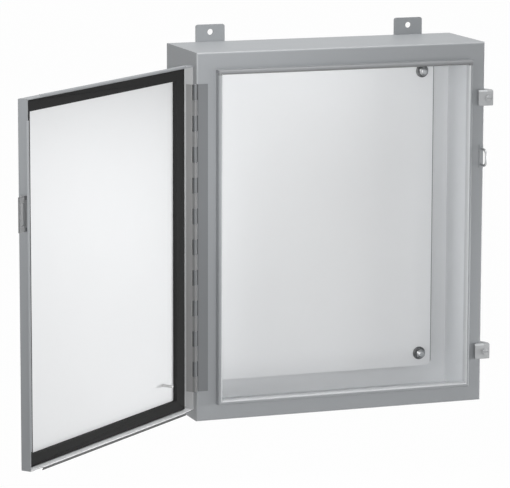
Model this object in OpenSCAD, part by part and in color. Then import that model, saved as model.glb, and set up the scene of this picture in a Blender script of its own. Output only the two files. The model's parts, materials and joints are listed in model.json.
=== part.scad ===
// Wall-mount steel electrical enclosure with a hinged door, shown with the door standing open.
// Frame: origin on the wall, at the centre of the four mounting holes.
// +X points right, +Y into the wall and +Z up. Millimetres.

/* [Box] */
// Height of the box without its feet
box_h = 609.6; // [450:0.1:900]
// Width of the box
box_w = 508; // [400:0.1:800]
// Depth of the box from its back to its front flange
box_d = 152.4; // [120:0.1:300]
// Sheet thickness of the walls and the front flange
wall_t = 1.9; // [1.2:0.1:2.5]
// Thickness of the back plate
back_t = 1.9; // [1.2:0.1:3]
// Outside radius of the bends along the front edges
bend_r = 3; // [3:0.1:6]

/* [Opening lip] */
// Width of the front flange above the opening
flange_top = 28.5; // [26:0.1:45]
// Width of the front flange below the opening
flange_bottom = 27.3; // [24:0.1:45]
// Width of the front flange beside the hinge
flange_hinge = 33.4; // [30:0.1:50]
// Width of the front flange beside the clamps
flange_clamp = 26.3; // [26:0.1:30]
// How far the rolled lip stands forward of the flange
lip_d = 14; // [10:0.1:20]
// Inside radius of the bend at the foot of the lip
lip_bend_r = 1; // [0.5:0.1:2]
// Gap left inside the rolled edge of the lip
hem_gap = 3.5; // [2:0.1:4]
// Length of the rolled edge that runs back behind the lip
hem_return = 9; // [4:0.1:10]

/* [Mounting feet] */
// Distance of the feet's middles from the sides of the box
foot_inset = 76.2; // [40:0.1:120]
// Width of a foot
foot_w = 50.8; // [40:0.1:60]
// Plate thickness of a foot
foot_t = 2.7; // [2:0.1:5]
// How far a foot reaches past the box
foot_reach = 28.6; // [24:0.1:40]
// Length of a foot that is welded to the back plate
foot_lap = 38; // [25:0.1:60]
// Distance of the hole from the edge of the box
foot_hole_out = 15.9; // [12:0.1:18]
// Diameter of the mounting holes
foot_hole_d = 10; // [6:0.1:14]
// Corner radius of a foot
foot_r = 4; // [1:0.1:8]

/* [Inner panel] */
// Distance of the panel's edges from the outside of the box
panel_margin = 38.1; // [30:0.1:60]
// Thickness of the inner panel
panel_t = 2.7; // [1.5:0.1:5]
// Gap between the panel and the back plate
panel_standoff = 20.8; // [10:0.1:40]
// Corner radius of the panel
panel_r = 10; // [2:0.1:15]
// Distance of the stud holes from the panel's edges
panel_inset = 22.2; // [18:0.1:30]
// Diameter of the panel studs
stud_d = 9.5; // [6:0.1:10]
// Diameter of the collar that the panel rests on
collar_d = 15.9; // [14:0.1:22]
// Length of stud in front of the panel
stud_out = 14; // [12:0.1:30]
// Width of the nuts across their flats
nut_af = 14.3; // [13:0.1:18]
// Height of the nuts
nut_h = 8.3; // [5:0.1:9]
// Outside diameter of the washers
washer_d = 22.2; // [18:0.1:26]
// Thickness of the washers
washer_t = 1.6; // [1:0.1:2.5]

/* [Hinge] */
// Radius of the hinge barrel
hinge_r = 3.2; // [3:0.1:5]
// Radius of the hinge pin
pin_r = 1.6; // [1.2:0.05:1.8]
// Thickness of the hinge leaves
leaf_t = 1.2; // [0.8:0.1:1.4]
// Width of the leaf on the box, from the edge of the box
leaf_body_w = 19.2; // [12:0.1:24]
// Width of the leaf on the door, from the barrel's axis
leaf_door_w = 15.5; // [12:0.1:17]
// Length of one knuckle along the pin
knuckle_l = 25.4; // [15:0.1:40]
// Gap between a leaf and the other leaf's knuckles
notch_gap = 2; // [0.5:0.1:3]
// Least distance of the hinge's ends from the top and bottom of the box
hinge_end = 50.8; // [40:0.1:100]

/* [Door] */
// Angle that the door stands open
door_open = 139; // [90:1:175]
// Sheet thickness of the door
door_t = 1.5; // [1:0.1:1.8]
// Outside radius of the bends round the door's face
door_bend_r = 2.5; // [2:0.1:5]
// Gap between the door's top edge and the lip of the opening
door_gap_top = 6.5; // [2:0.1:10]
// Gap between the door's bottom edge and the lip of the opening
door_gap_bottom = 4.8; // [1:0.1:8]
// Gap between the door's free edge and the lip of the opening
door_gap_free = 6; // [2.5:0.1:6.2]
// Gap left between the shut door's rim and the box
rim_gap = 1.8; // [1.6:0.1:3]
// Inside radius of the rolled lip of the door
door_lip_r = 1.25; // [0.8:0.05:1.6]
// Distance of the rolled lip's ends from the door's corners
door_lip_setback = 31.7; // [15:0.1:60]
// How far the rim is cut back at the corners, where it has no lip
corner_relief = 3.2; // [3.2:0.1:6]

/* [Gasket] */
// Width of the gasket
gasket_w = 19; // [16:0.1:24]
// Width of the gasket beside the hinge
gasket_hinge_w = 26.5; // [15:0.1:27]
// Thickness of the gasket
gasket_t = 7; // [4:0.1:10]
// Gap between the gasket and the door's rim
gasket_edge = 1; // [0.5:0.1:2]
// How far the gasket reaches past the crown of the lip beside the hinge
gasket_cover = 0.8; // [0.5:0.1:4]
// Corner radius inside the gasket
gasket_r = 1.5; // [1:0.1:6]

/* [Hasp and staple] */
// Distance of the hasp and staple from the top of the box
hasp_from_top = 192.6; // [140:0.1:220]
// Height of the hasp plate
hasp_h = 54; // [50:0.1:70]
// How far the hasp plate stands out from the door's edge
hasp_out = 20.5; // [20:0.1:24]
// Distance of the hasp plate behind the door's rolled lip
hasp_setback = 2.5; // [0:0.1:4]
// Thickness of the hasp plate
hasp_t = 2.5; // [1.5:0.1:4]
// Length of the hasp leg that is welded to the door's edge
hasp_leg = 11; // [6:0.1:15]
// Height of the slot in the hasp plate
hasp_slot_h = 35.4; // [34:0.1:40]
// Width of the slot in the hasp plate
hasp_slot_w = 10; // [8:0.1:10]
// Distance of the slot's middle from the door's edge
hasp_slot_out = 12; // [11:0.1:13]
// Height of the padlock staple
staple_h = 31; // [24:0.1:31]
// How far the staple stands out from the box
staple_out = 24; // [18:0.1:30]
// Diameter of the staple's rod
staple_d = 4; // [3:0.1:5]
// Bend radius of the staple, at the middle of the rod
staple_bend_r = 9.5; // [4:0.1:9.5]
// Thickness of the plate under the staple
staple_plate_t = 1.5; // [1:0.1:2]
// Width of the plate under the staple
staple_plate_w = 7; // [6:0.1:8]
// Height of the plate under the staple
staple_plate_h = 40.3; // [36:0.1:50]

/* [Clamps] */
// Distance of the upper clamp from the top of the box
clamp_from_top = 93.1; // [60:0.1:110]
// Distance of the lower clamp from the bottom of the box
clamp_from_bottom = 85; // [60:0.1:150]
// Height of a clamp
clamp_h = 26.4; // [22:0.1:34]
// Sheet thickness of a clamp
clamp_t = 2; // [1.5:0.1:2.5]
// Outside radius of a clamp's bends
clamp_bend_r = 3; // [2.6:0.1:5]
// How far a clamp's face stands forward of the box
clamp_out = 8; // [7.5:0.1:12]
// Travel of a slackened clamp towards the door
clamp_travel = 4.4; // [3:0.1:4.6]
// Gap between a clamp drawn back and the door's lip
clamp_gap = 1.2; // [0.6:0.1:2]
// Distance of the clamp screws from the side of the box
clamp_screw_out = 3.2; // [3:0.1:5]
// Radius of the clamp screws
clamp_screw_r = 2.4; // [1.6:0.1:2.6]
// Height of the clamp screws' heads
clamp_head_h = 3.2; // [2:0.1:5]
// Width of the clamp screws' hexagon heads across flats
clamp_head_af = 9.5; // [8:0.1:10]
// Diameter of the flange under the clamp screws' heads
clamp_head_flange_d = 11.4; // [11.4:0.1:13]
// Thickness of the flange under the clamp screws' heads
clamp_head_flange_t = 1.2; // [0.8:0.1:2]
// Width of the slot across the clamp screws' heads
clamp_head_slot_w = 1.3; // [1:0.1:2]
// Depth of the slot across the clamp screws' heads
clamp_head_slot_d = 1.6; // [1:0.1:2]
// Length of the clamp screws past their brackets
clamp_screw_tip = 4.8; // [1:0.1:8]
// Distance of the clamp brackets behind the front flange
bracket_back = 3; // [2:0.1:6]
// Plate thickness of the clamp brackets
bracket_t = 3.5; // [2:0.1:5]
// How far the clamp brackets stand out from the box
bracket_out = 11; // [8:0.1:14]
// Length of the clamp brackets along the side of the box
bracket_l = 20; // [12:0.1:40]

/* [Ground studs] */
// Radius of the ground studs
ground_r = 2.4; // [2:0.1:4]
// Length of the ground studs
ground_l = 20; // [14:0.1:24]
// Distance of the door's ground stud from the barrel's axis
ground_door_u = 76; // [60:0.1:200]
// Height of the ground studs above the bottom of the box
ground_up = 74.3; // [60:0.1:200]
// Distance of the body's ground stud behind the front flange
ground_body_y = 75; // [40:0.1:90]
// Width of the ground nut across its flats
ground_nut_af = 9.5; // [9:0.1:14]
// Height of the ground nut
ground_nut_h = 4; // [3:0.1:6]

/* [Clearances] */
// Gap between faces that rest on each other but move
slide_gap = 0.3; // [0.2:0.05:0.5]
// Radial clearance of pins, screws and nuts
running_gap = 0.05; // [0.03:0.01:0.1]
// Radial clearance of the panel's and washers' holes on the studs
hole_gap = 0.5; // [0.3:0.05:0.8]
// Gap between neighbouring knuckles
knuckle_gap = 0.4; // [0.3:0.05:0.8]
// Gap between the staple and the end of the hasp's slot when the door is shut
staple_gap = 1.2; // [0.8:0.1:2]

/* [Hidden] */
$fn = 64;

grey = [0.6, 0.61, 0.62];
dark_grey = [0.47, 0.48, 0.49];
white = [0.93, 0.93, 0.92];
black = [0.16, 0.16, 0.16];
zinc = [0.72, 0.73, 0.74];

// Main planes of the box
back_y = -foot_t;
front_y = back_y - box_d;
side_x = box_w / 2;
top_z = box_h / 2;
hem_r = wall_t + hem_gap / 2;
hem_w = 2 * hem_r;
inner_back_y = back_y - back_t;

// Wall mounting holes, to either side of the middle
hole_x = side_x - foot_inset;

// Inner panel and its studs
panel_w = box_w - 2 * panel_margin;
panel_h = box_h - 2 * panel_margin;
panel_y = inner_back_y - panel_standoff - panel_t;
stud_x = panel_w / 2 - panel_inset;
stud_z = panel_h / 2 - panel_inset;

// Hinge axis, at the box's front edge; the door's own frame has this axis as its origin,
// u along the shut door, v into the shut box
axis_x = -side_x - hinge_r;
axis_y = front_y - hinge_r;
knuckle_count = 2 * round((box_h / 2 - hinge_end) / knuckle_l);
hinge_l = knuckle_l * knuckle_count;

// Door in its own frame, measured where it meets the shut box
door_front = lip_d + slide_gap + gasket_t + door_t;
door_v = hinge_r - door_front;
floor_v = door_v + door_t;
rim_depth = door_front - rim_gap;
rim_corner_depth = rim_depth - corner_relief;
lip_v = hinge_r - rim_gap;
hinge_rim_u = hinge_r - leaf_t - door_t;
hinge_rim_depth = door_front - 2 * hinge_r - knuckle_gap;
free_u = side_x - flange_clamp + door_gap_free + door_t - axis_x;
door_top = top_z - flange_top + door_gap_top + door_t;
door_bottom = -top_z + flange_bottom - door_gap_bottom - door_t;
door_roll_r = door_lip_r + door_t;
door_lip_w = 2 * door_lip_r + door_t;
door_lip_out = free_u + door_lip_w;

// Gasket in the door's frame
gasket_in_hinge = -side_x + flange_hinge + hem_r + gasket_cover - axis_x;
gasket_out_free = free_u - door_t - gasket_edge;
gasket_out_top = door_top - door_t - gasket_edge;
gasket_out_bottom = door_bottom + door_t + gasket_edge;

// Heights of the fittings
hasp_z = top_z - hasp_from_top;
clamp_upper_z = top_z - clamp_from_top;
clamp_lower_z = clamp_from_bottom - top_z;
ground_z = ground_up - top_z;

// Staple, inside the hasp's slot when the door is shut
staple_x = axis_x + free_u + hasp_slot_out + hasp_slot_w / 2 - staple_d / 2 - staple_gap;

// Clamps, drawn back from the door's lip
clamp_x = axis_x + door_lip_out + clamp_gap;
clamp_screw_x = side_x + clamp_screw_out;
clamp_slot_r = clamp_screw_r + slide_gap;
clamp_end_x = clamp_screw_x + clamp_travel + clamp_slot_r + clamp_t + slide_gap;
clamp_heel_x = side_x + clamp_travel + slide_gap;
clamp_finger_x = clamp_x + door_lip_w - slide_gap;
clamp_depth = clamp_out + bracket_back - slide_gap;
clamp_finger_depth = clamp_out - rim_gap - door_roll_r - slide_gap;
clamp_rest_depth = clamp_out - slide_gap;
screw_tip_y = front_y + bracket_back + bracket_t + clamp_screw_tip;

// Quarter of a flat ring, in the first quadrant
module quarter_ring(outer, inner) {
    intersection() {
        difference() {
            circle(outer);
            circle(inner);
        }
        square(outer);
    }
}

// Rectangle with round corners, about its middle
module round_rect(w, h, r) {
    square([w - 2 * r, h], center = true);
    square([w, h - 2 * r], center = true);
    for (x = [-1, 1], y = [-1, 1])
        translate([x * (w / 2 - r), y * (h / 2 - r)]) circle(r);
}

// Prism along Y over an outline drawn in X and Z
module along_y(y0, y1) {
    translate([0, y1, 0]) rotate([90, 0, 0]) linear_extrude(y1 - y0) children();
}

// Round bar along Y
module rod_y(r, y0, y1) {
    translate([0, y0, 0]) rotate([-90, 0, 0]) cylinder(r = r, h = y1 - y0);
}

// Hexagon bar along Y, by its width across flats
module hex_y(af, y0, y1) {
    translate([0, y0, 0]) rotate([-90, 0, 0]) cylinder(d = af / cos(30), h = y1 - y0, $fn = 6);
}

// One copy at each stud of the inner panel
module at_studs() {
    for (x = [-1, 1], z = [-1, 1])
        translate([x * stud_x, 0, z * stud_z]) children();
}

// Places what is drawn in the door's own frame at the angle that the door stands open
module on_door() {
    translate([axis_x, axis_y, 0]) rotate([0, 0, -door_open]) children();
}

// Section of a wall with its front flange and rolled lip: across from the outside, depth from the front
module wall_section(flange) {
    turn = lip_d - hem_r;
    translate([0, bend_r]) square([wall_t, box_d - back_t - bend_r]);
    translate([bend_r, bend_r]) rotate(180) quarter_ring(bend_r, bend_r - wall_t);
    translate([bend_r, 0]) square([flange - lip_bend_r - bend_r, wall_t]);
    translate([flange - lip_bend_r, -lip_bend_r]) quarter_ring(lip_bend_r + wall_t, lip_bend_r);
    translate([flange, -turn]) square([wall_t, turn - lip_bend_r]);
    for (quarter = [180, 270])
        translate([flange + hem_r, -turn]) rotate(quarter) quarter_ring(hem_r, hem_r - wall_t);
    translate([flange + hem_w - wall_t, -turn]) square([wall_t, hem_return]);
}

// Corner of the opening's mitre, from the box's corner along the flange widths
function mitre_point(x, z) =
    let (across = x < 0 ? flange_hinge : flange_clamp)
    let (down = z > 0 ? flange_top : flange_bottom)
    let (share = 1 + 2 * hem_w / min(across, down))
    [x * (side_x - across * share), z * (top_z - down * share)];

// Cuts a wall off at the mitred corners of the box, between its two ends
module mitred(end_a, end_b) {
    corner_a = [end_a[0] * side_x, end_a[1] * top_z];
    corner_b = [end_b[0] * side_x, end_b[1] * top_z];
    inner_a = mitre_point(end_a[0], end_a[1]);
    inner_b = mitre_point(end_b[0], end_b[1]);
    intersection() {
        children();
        along_y(front_y - 2 * lip_d, back_y) polygon([corner_a, corner_b, inner_b, inner_a]);
    }
}

module wall_across(flange) {
    translate([-side_x, front_y, top_z]) rotate([0, 90, 0]) linear_extrude(box_w) wall_section(flange);
}

module wall_upright(flange) {
    translate([-side_x, front_y, -top_z]) linear_extrude(box_h) wall_section(flange);
}

module body_top() {
    color(grey) mitred([-1, 1], [1, 1]) wall_across(flange_top);
}

module body_bottom() {
    color(grey) mitred([1, -1], [-1, -1]) mirror([0, 0, 1]) wall_across(flange_bottom);
}

module body_hinge_side() {
    color(grey) mitred([-1, -1], [-1, 1]) wall_upright(flange_hinge);
}

module body_clamp_side() {
    color(grey) mitred([1, 1], [1, -1]) mirror([1, 0, 0]) wall_upright(flange_clamp);
}

module back_plate() {
    color(grey) translate([-side_x, inner_back_y, -top_z]) cube([box_w, back_t, box_h]);
}

module foot_outline() {
    length = foot_reach + foot_lap;
    translate([hole_x, top_z + foot_reach - length / 2]) difference() {
        round_rect(foot_w, length, foot_r);
        translate([0, length / 2 - foot_reach + foot_hole_out]) circle(d = foot_hole_d);
    }
}

module mounting_feet() {
    color(grey)
        for (x = [0, 1], z = [0, 1])
            mirror([x, 0, 0]) mirror([0, 0, z]) along_y(back_y, 0) foot_outline();
}

module panel_studs() {
    color(zinc) at_studs() {
        rod_y(collar_d / 2, panel_y + panel_t, inner_back_y);
        rod_y(stud_d / 2, panel_y - stud_out, panel_y + panel_t);
    }
}

module inner_panel() {
    color(white) difference() {
        along_y(panel_y, panel_y + panel_t) round_rect(panel_w, panel_h, panel_r);
        at_studs() rod_y(stud_d / 2 + hole_gap, panel_y - panel_t, panel_y + 2 * panel_t);
    }
}

module panel_washers() {
    color(zinc) at_studs() difference() {
        rod_y(washer_d / 2, panel_y - washer_t, panel_y);
        rod_y(stud_d / 2 + hole_gap, panel_y - 2 * washer_t, panel_y + washer_t);
    }
}

module panel_nuts() {
    nut_y = panel_y - washer_t;
    color(zinc) at_studs() difference() {
        hex_y(nut_af, nut_y - nut_h, nut_y);
        rod_y(stud_d / 2 + running_gap, nut_y - 2 * nut_h, nut_y + nut_h);
    }
}

// One copy at the lower end of each knuckle of a leaf: first is 0 or 1
module at_knuckles(first) {
    for (i = [first : 2 : knuckle_count - 1])
        translate([0, 0, i * knuckle_l - hinge_l / 2]) children();
}

// A flat leaf with its own knuckles, notched for the other leaf's knuckles and bored for the pin
module hinge_leaf(first) {
    notch = hinge_r + notch_gap;
    difference() {
        union() {
            difference() {
                children();
                at_knuckles(1 - first) translate([-notch, -notch, -knuckle_gap / 2])
                    cube([2 * notch, 2 * notch, knuckle_l + knuckle_gap]);
            }
            at_knuckles(first) translate([0, 0, knuckle_gap / 2])
                cylinder(r = hinge_r, h = knuckle_l - knuckle_gap);
        }
        cylinder(r = pin_r + running_gap, h = 2 * hinge_l, center = true);
    }
}

module hinge_leaf_body() {
    color(dark_grey) translate([axis_x, axis_y, 0]) hinge_leaf(1)
        translate([0, hinge_r - leaf_t, -hinge_l / 2]) cube([hinge_r + leaf_body_w, leaf_t, hinge_l]);
}

module hinge_leaf_door() {
    color(dark_grey) on_door() hinge_leaf(0)
        translate([hinge_r - leaf_t, -leaf_door_w, -hinge_l / 2]) cube([leaf_t, leaf_door_w, hinge_l]);
}

module hinge_pin() {
    color(zinc) translate([axis_x, axis_y, 0]) cylinder(r = pin_r, h = hinge_l, center = true);
}

// Rectangle from the origin with the corners on its near side rounded
module near_round(w, d, r) {
    translate([0, r]) square([w, d - r]);
    translate([r, 0]) square([w - 2 * r, r]);
    for (x = [r, w - r]) translate([x, r]) circle(r);
}

// Block over the door's face, rounded all round its front edge, drawn in from the door's outside
module door_block(inset, r, depth) {
    w = free_u - hinge_rim_u - 2 * inset;
    h = door_top - door_bottom - 2 * inset;
    translate([hinge_rim_u + inset, door_v + inset, door_bottom + inset]) intersection() {
        linear_extrude(h) near_round(w, depth - inset, r);
        translate([w, 0, 0]) rotate([0, -90, 0]) linear_extrude(w) near_round(h, depth - inset, r);
    }
}

// Section of the rim where it ends in a lip that rolls outwards through a half turn
module lip_section() {
    bend_depth = rim_depth - door_roll_r;
    translate([-door_t, door_bend_r]) square([door_t, bend_depth - door_bend_r]);
    for (quarter = [0, 90])
        translate([door_lip_r, bend_depth]) rotate(quarter) quarter_ring(door_roll_r, door_lip_r);
}

// Sections drawn outwards from the rim, swept along the free edge, the top and the bottom of the door
module along_free(z0, z1) {
    translate([free_u, door_v, z0]) linear_extrude(z1 - z0) children();
}

module along_top(u0, u1) {
    translate([u1, door_v, door_top]) rotate([0, -90, 0]) linear_extrude(u1 - u0) children();
}

module along_bottom(u0, u1) {
    translate([u1, door_v, door_bottom]) mirror([0, 0, 1]) rotate([0, -90, 0])
        linear_extrude(u1 - u0) children();
}

// The door's pan: its rim is cut back at the corners and beside the hinge
module door_pan() {
    difference() {
        door_block(0, door_bend_r, rim_corner_depth);
        door_block(door_t, door_bend_r - door_t, 2 * rim_depth);
        translate([hinge_rim_u - door_t, door_v + hinge_rim_depth, door_bottom + door_t])
            cube([2 * door_t, rim_depth, door_top - door_bottom - 2 * door_t]);
    }
}

module door_lips() {
    u0 = hinge_rim_u + door_lip_setback;
    u1 = free_u - door_lip_setback;
    along_top(u0, u1) lip_section();
    along_bottom(u0, u1) lip_section();
    along_free(door_bottom + door_lip_setback, door_top - door_lip_setback) lip_section();
}

module door_panel() {
    color(grey) on_door() {
        door_pan();
        door_lips();
    }
}

module door_gasket() {
    u0 = gasket_in_hinge - gasket_hinge_w;
    outer = [gasket_out_free - u0, gasket_out_top - gasket_out_bottom];
    middle = [u0 + outer[0] / 2, gasket_out_bottom + outer[1] / 2];
    inner = [gasket_out_free - gasket_w - gasket_in_hinge, outer[1] - 2 * gasket_w];
    color(black) on_door() along_y(floor_v, floor_v + gasket_t) difference() {
        translate(middle) square(outer, center = true);
        translate([gasket_in_hinge + inner[0] / 2, middle[1]]) round_rect(inner[0], inner[1], gasket_r);
    }
}

module hasp_plate() {
    plate_v = lip_v - door_roll_r - hasp_setback;
    color(grey) on_door() translate([free_u, 0, hasp_z]) {
        difference() {
            along_y(plate_v - hasp_t, plate_v)
                translate([0, -hasp_h / 2]) square([hasp_out, hasp_h]);
            along_y(plate_v - 2 * hasp_t, plate_v + hasp_t)
                translate([hasp_slot_out, 0]) round_rect(hasp_slot_w, hasp_slot_h, hasp_t);
        }
        translate([0, plate_v - hasp_leg, -hasp_h / 2]) cube([hasp_t, hasp_leg - hasp_t, hasp_h]);
    }
}

module staple_plate() {
    color(grey) translate([staple_x, 0, hasp_z]) along_y(front_y - staple_plate_t, front_y)
        round_rect(staple_plate_w, staple_plate_h, staple_plate_w / 4);
}

module padlock_staple() {
    leg_z = (staple_h - staple_d) / 2;
    bar_y = front_y - staple_out + staple_d / 2;
    bend_z = leg_z - staple_bend_r;
    color(zinc) translate([staple_x, 0, hasp_z]) {
        for (side = [0, 1]) mirror([0, 0, side]) {
            translate([0, 0, leg_z]) rod_y(staple_d / 2, bar_y + staple_bend_r, front_y - staple_plate_t);
            translate([0, bar_y + staple_bend_r, bend_z]) rotate([180, -90, 0])
                rotate_extrude(angle = 90) translate([staple_bend_r, 0]) circle(d = staple_d);
        }
        translate([0, bar_y, -bend_z]) cylinder(d = staple_d, h = 2 * bend_z);
    }
}

// Clamp bracket: a short channel welded to the side of the box, tapped for the clamp's screw
module clamp_bracket(z) {
    face_y = front_y + bracket_back;
    translate([side_x, 0, z]) difference() {
        union() {
            translate([0, face_y, -clamp_h / 2]) cube([bracket_out, bracket_t, clamp_h]);
            for (side = [0, 1]) mirror([0, 0, side])
                translate([0, face_y + bracket_t, clamp_h / 2 - clamp_t])
                    linear_extrude(clamp_t)
                        polygon([[0, 0], [bracket_out, 0], [0, bracket_l - bracket_t]]);
        }
        translate([clamp_screw_out, 0, 0])
            rod_y(clamp_screw_r + running_gap, face_y - bracket_t, face_y + 2 * bracket_t);
    }
}

module clamp_brackets() {
    color(grey) {
        clamp_bracket(clamp_upper_z);
        clamp_bracket(clamp_lower_z);
    }
}

// Section of a clamp: depth from its face, and height
module clamp_section() {
    for (side = [0, 1]) mirror([0, side]) {
        square([clamp_t, clamp_h / 2 - clamp_bend_r]);
        translate([clamp_bend_r, clamp_h / 2 - clamp_bend_r]) rotate(90)
            quarter_ring(clamp_bend_r, clamp_bend_r - clamp_t);
        translate([clamp_bend_r, clamp_h / 2 - clamp_t]) square([clamp_depth - clamp_bend_r, clamp_t]);
    }
}

// Plan of a clamp: the finger bears on the door's lip, the heel on the bracket
module clamp_plan() {
    polygon([
        [clamp_x, 0],
        [clamp_end_x, 0],
        [clamp_end_x, clamp_depth],
        [clamp_heel_x, clamp_depth],
        [clamp_heel_x, clamp_rest_depth],
        [clamp_finger_x, clamp_rest_depth],
        [clamp_finger_x, clamp_finger_depth],
        [clamp_x, clamp_finger_depth]
    ]);
}

// A clamp as it stands drawn back, with a slot for its screw
module clamp(z) {
    face_y = front_y - clamp_out;
    translate([0, face_y, z]) difference() {
        intersection() {
            union() {
                translate([clamp_x, 0, 0]) rotate([90, 0, 90])
                    linear_extrude(clamp_end_x - clamp_x) clamp_section();
                translate([clamp_end_x - clamp_t, 0, -clamp_h / 2 + clamp_bend_r])
                    cube([clamp_t, clamp_depth, clamp_h - 2 * clamp_bend_r]);
            }
            translate([0, 0, -clamp_h]) linear_extrude(2 * clamp_h) clamp_plan();
        }
        for (x = [clamp_screw_x, clamp_screw_x + clamp_travel])
            translate([x, 0, 0]) rod_y(clamp_slot_r, -clamp_t, 2 * clamp_t);
        translate([clamp_screw_x, -clamp_t, -clamp_slot_r])
            cube([clamp_travel, 3 * clamp_t, 2 * clamp_slot_r]);
    }
}

module clamp_upper() {
    color(grey) clamp(clamp_upper_z);
}

module clamp_lower() {
    color(grey) clamp(clamp_lower_z);
}

// Clamp screw with a slotted hexagon head and a flange under it
module clamp_screw(z) {
    seat_y = front_y - clamp_out - slide_gap;
    head_y = seat_y - clamp_head_flange_t;
    top_y = head_y - clamp_head_h;
    translate([clamp_screw_x, 0, z]) difference() {
        union() {
            rod_y(clamp_screw_r, head_y, screw_tip_y);
            rod_y(clamp_head_flange_d / 2, head_y, seat_y);
            hex_y(clamp_head_af, top_y, head_y);
        }
        translate([-clamp_head_af, top_y - clamp_head_slot_d, -clamp_head_slot_w / 2])
            cube([2 * clamp_head_af, 2 * clamp_head_slot_d, clamp_head_slot_w]);
    }
}

module clamp_screw_upper() {
    color(zinc) clamp_screw(clamp_upper_z);
}

module clamp_screw_lower() {
    color(zinc) clamp_screw(clamp_lower_z);
}

// Bar along X from the hinge side's inner face
module at_body_ground(r, x0, x1) {
    translate([-side_x + wall_t + x0, front_y + ground_body_y, ground_z]) rotate([0, 90, 0])
        cylinder(r = r, h = x1 - x0);
}

module body_ground_stud() {
    color(zinc) at_body_ground(ground_r, 0, ground_l);
}

module body_ground_nut() {
    color(zinc) difference() {
        at_body_ground(ground_nut_af / 2 / cos(30), 0, ground_nut_h, $fn = 6);
        at_body_ground(ground_r + running_gap, -ground_nut_h, 2 * ground_nut_h);
    }
}

module door_ground_stud() {
    color(zinc) on_door() translate([ground_door_u, 0, ground_z])
        rod_y(ground_r, floor_v, floor_v + ground_l);
}

body_top();
body_bottom();
body_hinge_side();
body_clamp_side();
back_plate();
mounting_feet();
panel_studs();
inner_panel();
panel_washers();
panel_nuts();
hinge_leaf_body();
hinge_leaf_door();
hinge_pin();
door_panel();
door_gasket();
hasp_plate();
staple_plate();
padlock_staple();
clamp_brackets();
clamp_upper();
clamp_lower();
clamp_screw_upper();
clamp_screw_lower();
body_ground_stud();
body_ground_nut();
door_ground_stud();
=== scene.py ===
import json
import math

import bmesh
import bpy
from mathutils import Matrix, Vector


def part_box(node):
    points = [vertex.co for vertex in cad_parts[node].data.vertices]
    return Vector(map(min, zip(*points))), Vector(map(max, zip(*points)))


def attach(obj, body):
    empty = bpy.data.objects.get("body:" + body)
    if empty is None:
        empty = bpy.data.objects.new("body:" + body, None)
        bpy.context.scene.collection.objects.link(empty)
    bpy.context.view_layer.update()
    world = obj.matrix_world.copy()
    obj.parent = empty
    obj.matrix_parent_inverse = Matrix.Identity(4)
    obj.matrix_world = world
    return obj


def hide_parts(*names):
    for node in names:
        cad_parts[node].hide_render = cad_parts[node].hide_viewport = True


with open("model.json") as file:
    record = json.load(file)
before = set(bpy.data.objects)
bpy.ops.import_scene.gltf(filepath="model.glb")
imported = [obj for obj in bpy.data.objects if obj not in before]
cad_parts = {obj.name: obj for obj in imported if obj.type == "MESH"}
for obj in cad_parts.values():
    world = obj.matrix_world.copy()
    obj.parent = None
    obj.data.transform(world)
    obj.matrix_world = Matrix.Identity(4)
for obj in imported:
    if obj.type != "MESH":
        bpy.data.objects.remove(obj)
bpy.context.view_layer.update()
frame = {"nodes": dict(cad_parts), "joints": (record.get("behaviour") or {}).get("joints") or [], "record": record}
nodes = frame["nodes"]
mounts = {mount["name"]: mount for mount in frame["record"]["mounts"]}
doorJoint = next(joint for joint in frame["joints"] if joint["name"] == "door_hinge")
doorAngle = -math.radians(doorJoint["range_deg"][0])  # how far the door stands open in the CAD
hingeAt = Vector(doorJoint["pos_m"])
# the door's own frame has x along the door and y out of its inner face
doorFrame = Matrix.Translation(hingeAt) @ Matrix.Rotation(-doorAngle, 4, "Z")
wide = 9.0  # past everything
tiny = 1e-6  # lengths this close count as equal
facing = 0.9  # a normal with this share along an axis faces that way
print("frame loaded:", len(nodes), "nodes")


# node helpers

def newTree(owner):
    owner.use_nodes = True
    owner.node_tree.nodes.clear()
    return owner.node_tree


def addNode(tree, kind, label, **values):
    node = tree.nodes.new(kind)
    node.label = label
    for key, value in values.items():
        setattr(node, key, value)
    return node


# a number, colour or corner is set on the socket, and another socket is linked to it
def feed(tree, socket, value):
    if isinstance(value, (int, float, tuple)):
        socket.default_value = value
    else:
        tree.links.new(value, socket)


def newGroup(name, inputs, outputs):
    group = bpy.data.node_groups.new(name, "ShaderNodeTree")
    for way, sockets in (("INPUT", inputs), ("OUTPUT", outputs)):
        for socketName, kind in sockets.items():
            group.interface.new_socket(socketName, in_out=way, socket_type="NodeSocket" + kind)
    return group, group.nodes.new("NodeGroupInput").outputs, group.nodes.new("NodeGroupOutput").inputs


def addGroup(tree, group, label, **inputs):
    node = addNode(tree, "ShaderNodeGroup", label, node_tree=group)
    for key, value in inputs.items():
        feed(tree, node.inputs[key], value)
    return node


def mathNode(tree, operation, label, a, b):
    node = addNode(tree, "ShaderNodeMath", label, operation=operation)
    feed(tree, node.inputs[0], a)
    feed(tree, node.inputs[1], b)
    return node.outputs[0]


def mixColor(tree, label, factor, a, b):
    node = addNode(tree, "ShaderNodeMix", label, data_type="RGBA")
    feed(tree, node.inputs[0], factor)
    feed(tree, node.inputs[6], a)
    feed(tree, node.inputs[7], b)
    return node.outputs[2]


def noise(tree, label, place, scale, detail):
    node = addNode(tree, "ShaderNodeTexNoise", label)
    node.inputs["Scale"].default_value = scale
    node.inputs["Detail"].default_value = detail
    tree.links.new(place, node.inputs["Vector"])
    return node.outputs["Fac"]


def bumpNormal(tree, label, height, strength, distance):
    node = addNode(tree, "ShaderNodeBump", label)
    node.inputs["Strength"].default_value = strength
    node.inputs["Distance"].default_value = distance
    tree.links.new(height, node.inputs["Height"])
    return node.outputs["Normal"]


def startMaterial(name):
    material = bpy.data.materials.new(name)
    tree = newTree(material)
    place = addNode(tree, "ShaderNodeTexCoord", "place on the part")
    return material, tree, place.outputs["Object"]


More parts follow.
